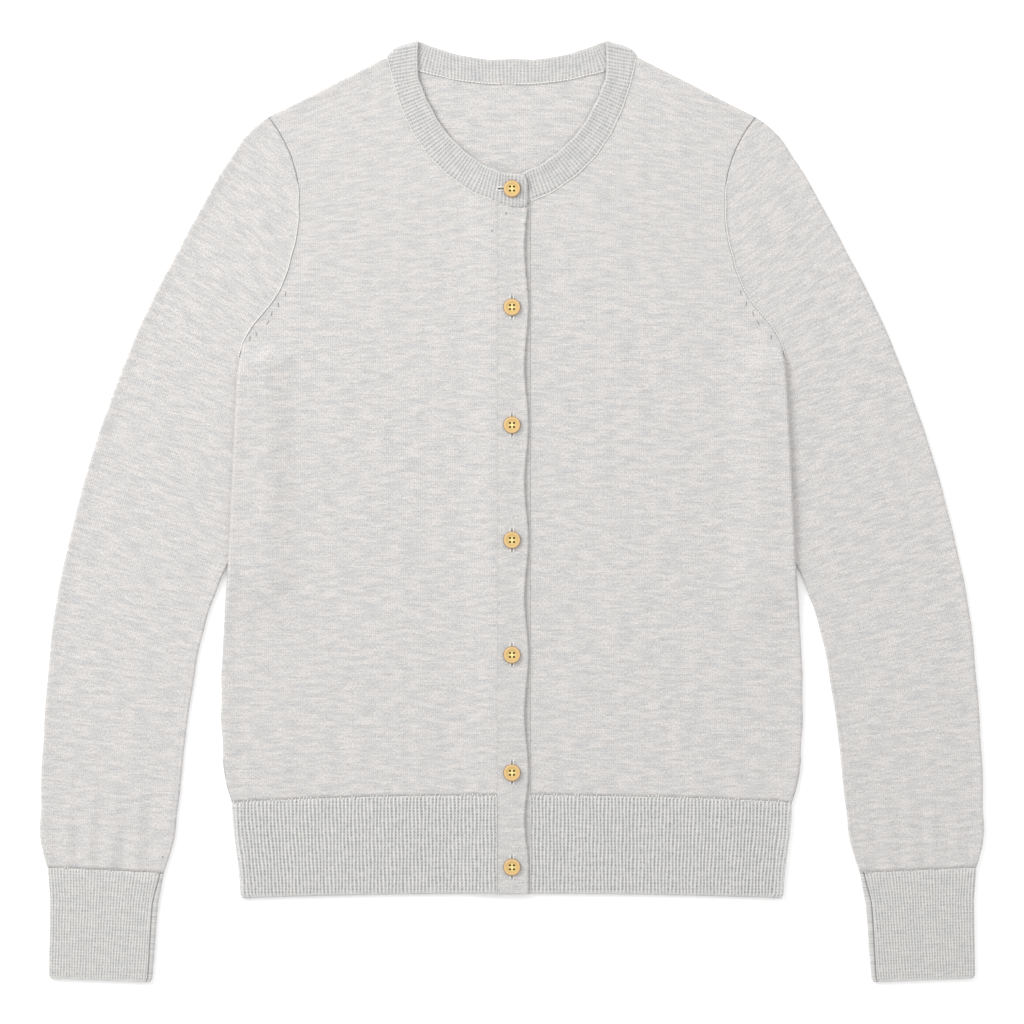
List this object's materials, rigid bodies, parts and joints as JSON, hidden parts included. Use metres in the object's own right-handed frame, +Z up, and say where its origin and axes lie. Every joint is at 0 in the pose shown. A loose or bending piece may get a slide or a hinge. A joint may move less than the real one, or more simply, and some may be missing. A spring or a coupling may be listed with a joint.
{
  "type": "button cardigan",
  "caption": "Fine-knit round-neck cardigan laid flat, buttoned down the front, with long sleeves and ribbed neckband, cuffs and hem.",
  "frame": {"origin": "under the middle of the garment's outline, on the surface it lies on", "axes": "+Z up out of the garment's front, +Y towards the neck, +X towards the wearer's left sleeve"},
  "size_m": [0.6588, 0.6592, 0.0083],
  "materials": {
    "jersey": "matte fine-gauge wool jersey in pale heather grey",
    "rib": "matte one-by-one wool rib in pale heather grey",
    "placket": "matte wool knit, double and close",
    "button": "satin turned pale wood"
  },
  "bodies": {
    "root": {"back": "jersey", "front_right": "jersey", "front_left": "jersey", "sleeve_right": "jersey", "sleeve_left": "jersey", "cuff_right": "rib", "cuff_left": "rib", "hem_back": "rib", "hem_front_right": "rib", "hem_front_left": "rib", "neckband": "rib", "placket_right": "placket", "placket_left": "placket", "button_1": "button", "button_2": "button", "button_3": "button", "button_4": "button", "button_5": "button", "button_6": "button", "button_7": "button"}
  },
  "joints": []
}
